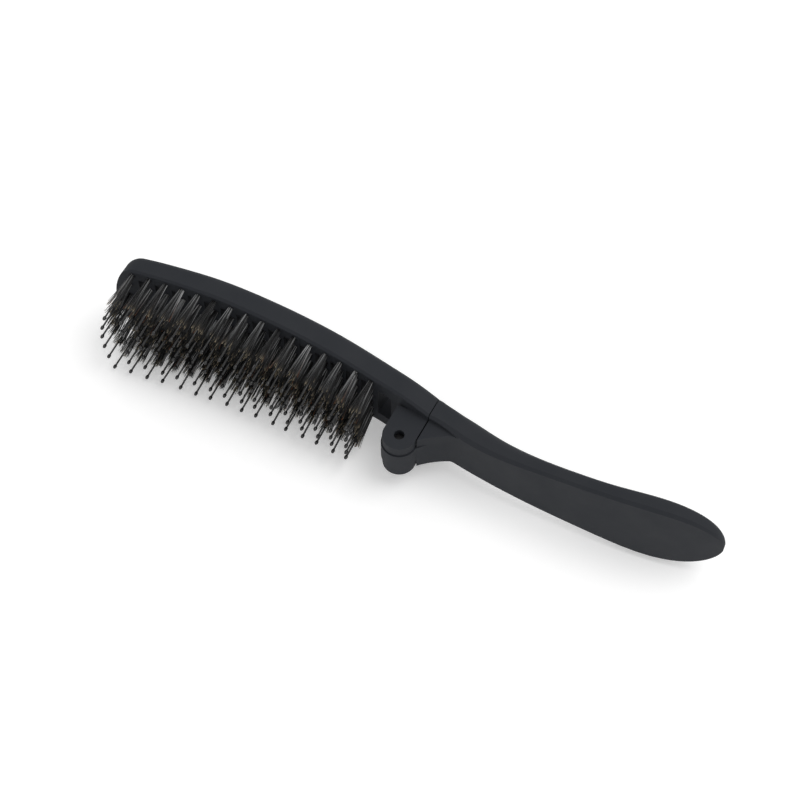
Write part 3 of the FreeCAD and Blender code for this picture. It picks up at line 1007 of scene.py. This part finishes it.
@dataclass
class RowPieces:
    """Pieces that stand in rows on the head, a row to a piece, all grown by one tree."""

    stem: str
    piece: str
    slot: Slot
    tree: NodeTree = field(init=False)

    def __post_init__(self) -> None:
        """Builds the tree once for all rows."""
        self.tree = self.build_tree()

    def build_tree(self) -> NodeTree:
        """Builds the tree that grows a row from its roots."""
        raise NotImplementedError

    def own_sizes(self) -> dict[str, Feed]:
        """Gives the fields by the tree's names for them, such as Strand Sides for strand_sides."""
        return {name.replace("_", " ").title(): value for name, value in vars(self).items()}

    def row_sizes(self, row: SetRow, number: int) -> dict[str, Feed]:
        """Gives the tree's inputs that differ from row to row."""
        raise NotImplementedError

    def dress(self, material: Material) -> None:
        """Grows every row and gives it its finish and its place in the frame.

        Args:
            material: the finish.
        """
        for number, node in enumerate(rows_of(self.stem), 1):
            row = SetRow.read(node)
            obj = row.start_object(f"{self.piece}_{number}")
            sizes = self.own_sizes() | self.row_sizes(row, number)
            grow(obj, self.tree, sizes | {"Axis": row.axis, "Finish": material})
            seat(obj, Body.HEAD, node, self.slot)


@dataclass
class BristleRows(RowPieces):
    """The tufts of boar bristle."""

    strands: int = 42
    strand_diameter: float = 0.27 * MM
    strand_points: int = 5
    strand_sides: int = 4
    root_share: float = 0.75
    length_share: float = 1.07
    length_spread: float = 0.10
    length_power: float = 1.6
    flare_power: float = 1.2
    stray: float = 0.34 * MM
    stray_power: float = 2.4
    curl: float = 0.16 * MM
    curl_gain: float = 4.0
    end_taper: float = 0.45
    girth_low: float = 0.7
    girth_spread: float = 0.5
    seed: int = 7

    def build_tree(self) -> NodeTree:
        """Builds the tree that grows the strands of each tuft from its root.

        Returns:
            The tree.
        """
        bench = GroupBench(
            "tuft_strands",
            "GeometryNodeTree",
            {
                Socket.GEOMETRY: ("Roots",),
                Socket.WHOLE: ("Strands", "Strand Points", "Strand Sides", "Seed"),
                Socket.NUMBER: (
                    *("Length", "Length Spread", "Root Radius", "Tip Radius"),
                    *("Strand Diameter", "Stray", "Curl"),
                ),
                Socket.VECTOR: ("Axis",),
                Socket.FINISH: ("Finish",),
            },
            {Socket.GEOMETRY: ("Strands",)},
        )
        tubes = self.thicken(bench, self.bend(bench, self.scatter(bench)))
        return bench.give({"Strands": bench.finished(tubes)})

    def scatter(self, bench: GroupBench) -> NodeSocket:
        """Sets a line for every strand, and stores its place in the tuft and its draws on it.

        Args:
            bench: the bench on the tree.

        Returns:
            The lines.
        """
        take = bench.take
        points = bench.out("GeometryNodeMeshToPoints", {"Mesh": take["Roots"]})
        root = bench.out("GeometryNodeInputPosition")
        points = bench.store(points, "anchor", root, Stored.VECTOR)
        amount = {"Geometry": points, "Amount": take["Strands"]}
        copies = bench.add("GeometryNodeDuplicateElements", amount, domain="POINT").outputs
        number = copies["Duplicate Index"]
        index = bench.out("GeometryNodeInputIndex")
        tuft = bench.math("FLOOR", bench.math("DIVIDE", index, take["Strands"]))
        start = bench.chance(Draw.TURN, tuft, 0.0, math.tau)
        turn = bench.math("MULTIPLY_ADD", number, GOLDEN_ANGLE, start)
        filled = bench.math("DIVIDE", bench.math("ADD", number, HALF), take["Strands"])
        share = bench.math("SQRT", filled)
        across = bench.vector("CROSS_PRODUCT", take["Axis"], UP)
        disc = bench.total(
            bench.scaled(across, bench.product(share, bench.math("COSINE", turn))),
            bench.scaled(UP, bench.product(share, bench.math("SINE", turn))),
        )
        points = bench.store(copies["Geometry"], "disc", disc, Stored.VECTOR)
        short = bench.math("POWER", bench.chance(Draw.LENGTH, index, 0.0, 1.0), self.length_power)
        reach = bench.math("SUBTRACT", 1.0, bench.product(take["Length Spread"], short))
        points = bench.store(points, "reach", reach, Stored.NUMBER)
        for draw in (Draw.STRAY, Draw.CURL):
            throw = bench.chance(draw, index, (-1.0,) * 3, (1.0,) * 3)
            points = bench.store(points, draw.name.lower(), throw, Stored.VECTOR)
        for draw in (Draw.TONE, Draw.GIRTH):
            throw = bench.chance(draw, index, 0.0, 1.0)
            points = bench.store(points, draw.name.lower(), throw, Stored.NUMBER)
        line = bench.out("GeometryNodeCurvePrimitiveLine")
        steps = {"Curve": line, "Count": take["Strand Points"]}
        line = bench.out("GeometryNodeResampleCurve", steps)
        lines = bench.out("GeometryNodeInstanceOnPoints", {"Points": points, "Instance": line})
        lines = bench.out("GeometryNodeRealizeInstances", {"Geometry": lines})
        along = bench.out("GeometryNodeSplineParameter", pick="Factor")
        return bench.store(lines, "along", along, Stored.NUMBER)

    def bend(self, bench: GroupBench, lines: NodeSocket) -> NodeSocket:
        """Lays each line along its strand: out from the root, flared, strayed and curled.

        Args:
            bench: the bench on the tree.
            lines: the lines.

        Returns:
            The bent lines.
        """
        take = bench.take
        along = bench.named("along")
        flare = bench.math("POWER", along, self.flare_power)
        radius = bench.ranged(flare, take["Root Radius"], take["Tip Radius"])
        sway = bench.product(along, bench.math("SUBTRACT", 1.0, along), self.curl_gain)
        drift = bench.product(take["Stray"], bench.math("POWER", along, self.stray_power))
        gone = bench.product(take["Length"], bench.named("reach"), along)
        place = bench.total(
            bench.named("anchor", Stored.VECTOR),
            bench.scaled(take["Axis"], gone),
            bench.scaled(bench.named("disc", Stored.VECTOR), radius),
            bench.scaled(bench.named("stray", Stored.VECTOR), drift),
            bench.scaled(bench.named("curl", Stored.VECTOR), bench.product(take["Curl"], sway)),
        )
        return bench.out("GeometryNodeSetPosition", {"Geometry": lines, "Position": place})

    def thicken(self, bench: GroupBench, lines: NodeSocket) -> NodeSocket:
        """Makes each line a closed tube that tapers to its end.

        Args:
            bench: the bench on the tree.
            lines: the bent lines.

        Returns:
            The tubes.
        """
        take = bench.take
        taper = bench.math("MULTIPLY_ADD", bench.named("along"), -self.end_taper, 1.0)
        girth = bench.math("MULTIPLY_ADD", bench.named("girth"), self.girth_spread, self.girth_low)
        radius = bench.product(take["Strand Diameter"], HALF)
        radius = bench.product(radius, bench.product(taper, girth))
        ring = {"Resolution": take["Strand Sides"], "Radius": 1.0}
        profile = bench.out("GeometryNodeCurvePrimitiveCircle", ring)
        feeds = {"Curve": lines, "Profile Curve": profile, "Scale": radius, "Fill Caps": True}
        return bench.out("GeometryNodeCurveToMesh", feeds)

    def row_sizes(self, row: SetRow, number: int) -> dict[str, Feed]:
        """Gives a row's radii, its strands' length and its seed."""
        radii = {"Root Radius": row.root_radius * self.root_share, "Tip Radius": row.tip_radius}
        return radii | {"Length": row.length * self.length_share, "Seed": self.seed * number}


@dataclass
class BallPins(RowPieces):
    """The ball-tipped nylon pins."""

    shaft_diameter: float = 0.74 * MM
    tip_diameter: float = 0.62 * MM
    shaft_sides: int = 8
    shaft_steps: int = 3
    ball_diameter: float = 1.18 * MM
    ball_stretch: float = 1.45
    ball_sides: int = 10
    ball_rings: int = 7
    wobble: float = math.radians(1.3)
    seed: int = 23

    def build_tree(self) -> NodeTree:
        """Builds the tree that sets a tapered, ball-tipped pin at each root.

        Returns:
            The tree.
        """
        bench = GroupBench(
            "ball_tipped_pins",
            "GeometryNodeTree",
            {
                Socket.GEOMETRY: ("Roots",),
                Socket.WHOLE: ("Seed",),
                Socket.NUMBER: (
                    *("Length", "Shaft Diameter", "Tip Diameter"),
                    *("Ball Diameter", "Ball Stretch", "Wobble"),
                ),
                Socket.VECTOR: ("Axis",),
                Socket.FINISH: ("Finish",),
            },
            {Socket.GEOMETRY: ("Pins",)},
        )
        take = bench.take
        points = bench.out("GeometryNodeMeshToPoints", {"Mesh": take["Roots"]})
        axis = {"Vector": take["Axis"]}
        aim = bench.out("FunctionNodeAlignRotationToVector", axis, axis="Z")
        span = {"Min": (-1.0, -1.0, 0.0), "Max": (1.0, 1.0, 0.0), "Seed": take["Seed"]}
        throw = bench.out("FunctionNodeRandomValue", span, data_type=Stored.VECTOR.value)
        lean = {"Euler": bench.scaled(throw, take["Wobble"])}
        turn = {"Rotation": aim, "Rotate By": bench.out("FunctionNodeEulerToRotation", lean)}
        turned = bench.out("FunctionNodeRotateRotation", turn, rotation_space="LOCAL")
        feeds = {"Points": points, "Instance": self.one_pin(bench), "Rotation": turned}
        pins = bench.out("GeometryNodeInstanceOnPoints", feeds)
        return bench.give({"Pins": bench.finished(pins)})

    def one_pin(self, bench: GroupBench) -> NodeSocket:
        """Makes one pin upright on the origin.

        Args:
            bench: the bench on the tree.

        Returns:
            The shaft and its drop-shaped ball.
        """
        take = bench.take
        radius = bench.product(take["Ball Diameter"], HALF)
        half_ball = bench.product(radius, take["Ball Stretch"])
        height = bench.math("SUBTRACT", take["Length"], half_ball)
        shaft = bench.out(
            "GeometryNodeMeshCone",
            {
                "Vertices": self.shaft_sides,
                "Side Segments": self.shaft_steps,
                "Radius Top": bench.product(take["Tip Diameter"], HALF),
                "Radius Bottom": bench.product(take["Shaft Diameter"], HALF),
                "Depth": height,
            },
        )
        sphere = {"Segments": self.ball_sides, "Rings": self.ball_rings, "Radius": radius}
        drop = {"X": 1.0, "Y": 1.0, "Z": take["Ball Stretch"]}
        move = {
            "Geometry": bench.out("GeometryNodeMeshUVSphere", sphere),
            "Translation": bench.out("ShaderNodeCombineXYZ", {"Z": height}),
            "Scale": bench.out("ShaderNodeCombineXYZ", drop),
        }
        ball = bench.out("GeometryNodeTransform", move)
        joined = bench.add("GeometryNodeJoinGeometry")
        for part in (ball, shaft):
            bench.feed(joined, {0: part})
        return joined.outputs[0]

    def row_sizes(self, row: SetRow, number: int) -> dict[str, Feed]:
        """Gives a row's length and its seed."""
        return {"Length": row.length, "Seed": self.seed + number}


@dataclass
class KeptNodes:
    """CAD nodes whose own shape is right: they stay, and only get a finish."""

    stem: str

    def dress(self, material: Material) -> None:
        """Gives each node its finish.

        Args:
            material: the finish.
        """
        for node in rows_of(self.stem):
            obj = frame["nodes"][node]
            obj.data.materials.clear()
            obj.data.materials.append(material)
            LOG.info("%s: kept, dressed as %s", node, material.name)


@dataclass
class Studio:
    """The pale floor, the soft light and the camera at the photo's angle."""

    hinge: Vector
    look_from_hinge: Place = (-12.45 * MM, 23.95 * MM, 0.0)
    azimuth: float = math.radians(28)
    elevation: float = math.radians(59)
    distance: float = 608 * MM
    lens: float = 85.5
    near_clip: float = 10 * MM
    floor_side: float = 6.0
    floor_tone: float = 0.95
    floor_rough: float = 0.9
    floor_specular: float = 0.1
    floor_glow: float = 0.20
    far_glow: float = 0.14
    near_edge: float = 0.24
    far_edge: float = 0.90
    sky_light: float = 0.76
    key_power: float = 3.7
    key_size: float = 0.7
    key_place: Place = (0.42, 0.16, 1.0)

    def build(self) -> None:
        """Builds everything round the object."""
        bpy.context.scene.view_settings.view_transform = "Standard"
        self.build_floor()
        self.build_sky()
        self.build_key()
        self.build_camera()

    @property
    def target(self) -> Vector:
        """Gives the point on the floor that the camera looks at."""
        return Vector((self.hinge.x, self.hinge.y, 0.0)) + Vector(self.look_from_hinge)

    @staticmethod
    def seen_directly(bench: NodeBench) -> NodeSocket:
        """Finds the rays that show a surface itself.

        Args:
            bench: the bench on the floor's or the world's tree.

        Returns:
            1 for rays from the camera and for mirror and glass rays, else 0.
        """
        rays = bench.add("ShaderNodeLightPath").outputs
        mirrored = bench.math("MAXIMUM", rays["Is Glossy Ray"], rays["Is Transmission Ray"])
        return bench.math("MAXIMUM", rays["Is Camera Ray"], mirrored)

    def build_floor(self) -> None:
        """Builds the floor, which keeps the shadow and shows white elsewhere."""
        half = self.floor_side / 2
        mesh = bpy.data.meshes.new("floor")
        corners = [(-half, -half, 0), (half, -half, 0), (half, half, 0), (-half, half, 0)]
        mesh.from_pydata(corners, [], [(0, 1, 2, 3)])
        floor = link_object("floor", mesh)
        white = Finish("floor_white")
        material, bench, shader = white.start()
        away = bench.vector("LENGTH", white.place(bench))
        full_glow = self.floor_glow + self.far_glow
        glow = bench.ranged(away, self.floor_glow, full_glow, self.near_edge, self.far_edge)
        bench.feed(
            shader,
            {
                "Base Color": opaque((self.floor_tone,) * 3),
                "Roughness": self.floor_rough,
                "Specular IOR Level": self.floor_specular,
                "Emission Color": opaque(WHITE),
                "Emission Strength": bench.product(self.seen_directly(bench), glow),
            },
        )
        mesh.materials.append(material)

    def build_sky(self) -> None:
        """Builds the world: white to look at, and a plain soft fill as a light."""
        world = bpy.data.worlds.new("studio")
        bpy.context.scene.world = world
        world.use_nodes = True
        bench = NodeBench(world.node_tree)
        shader = next(n for n in world.node_tree.nodes if n.type == "BACKGROUND")
        strength = bench.ranged(self.seen_directly(bench), self.sky_light, 1.0)
        bench.feed(shader, {"Color": opaque(WHITE), "Strength": strength})

    def build_key(self) -> None:
        """Builds the large soft lamp above the object, behind it and towards its handle."""
        lamp = bpy.data.lights.new("key", "AREA")
        lamp.shape = "DISK"
        lamp.size = self.key_size
        lamp.energy = self.key_power
        key = bpy.data.objects.new("key", lamp)
        key.location = self.target + Vector(self.key_place)
        key.rotation_euler = (self.target - key.location).to_track_quat("-Z", "Y").to_euler()
        bpy.context.scene.collection.objects.link(key)

    def build_camera(self) -> None:
        """Builds the camera at the photo's angle."""
        camera = bpy.data.objects.new("camera", bpy.data.cameras.new("camera"))
        camera.data.lens = self.lens
        camera.data.clip_start = self.near_clip
        level = math.cos(self.elevation)
        right, back = level * math.sin(self.azimuth), level * math.cos(self.azimuth)
        away = Vector((right, -back, math.sin(self.elevation)))
        camera.location = self.target + self.distance * away
        camera.rotation_euler = (-away).to_track_quat("-Z", "Y").to_euler()
        bpy.context.scene.collection.objects.link(camera)
        bpy.context.scene.camera = camera


def rows_of(stem: str) -> list[str]:
    """Gives the CAD nodes of one kind of row, in order."""
    return sorted(name for name in frame["nodes"] if name.startswith(stem))


def main() -> None:
    """Builds the brush and its surroundings, piece by piece."""
    logging.basicConfig(level=logging.INFO, format="%(message)s")
    palette = Palette()
    effects = Effects()
    soft_black = palette.soft_black.make(effects)
    hinge = Vector(frame["joints"][0]["pos_m"])
    head = HeadMoulding("head_frame", "vented_head", Body.HEAD, Slot.SOFT_BLACK, hinge=hinge)
    handle = HandleMoulding("handle", "folding_handle", Body.HANDLE, Slot.SOFT_BLACK, hinge=hinge)
    axle = Moulding("hinge_pin", "hinge_axle", Body.HEAD, Slot.PIN_STEEL)
    tufts = BristleRows("bristle_row_", "boar_tufts", Slot.BOAR_BRISTLE)
    pins = BallPins("pin_row_", "nylon_pins", Slot.BLACK_NYLON)
    head.dress(soft_black)
    handle.dress(soft_black)
    axle.dress(palette.pin_steel.make(effects))
    tufts.dress(palette.boar_bristle.make())
    pins.dress(palette.black_nylon.make(effects))
    KeptNodes("anchor_row_").dress(palette.anchor_wire.make(effects))
    Studio(hinge=hinge).build()


if __name__ == "__main__":
    main()
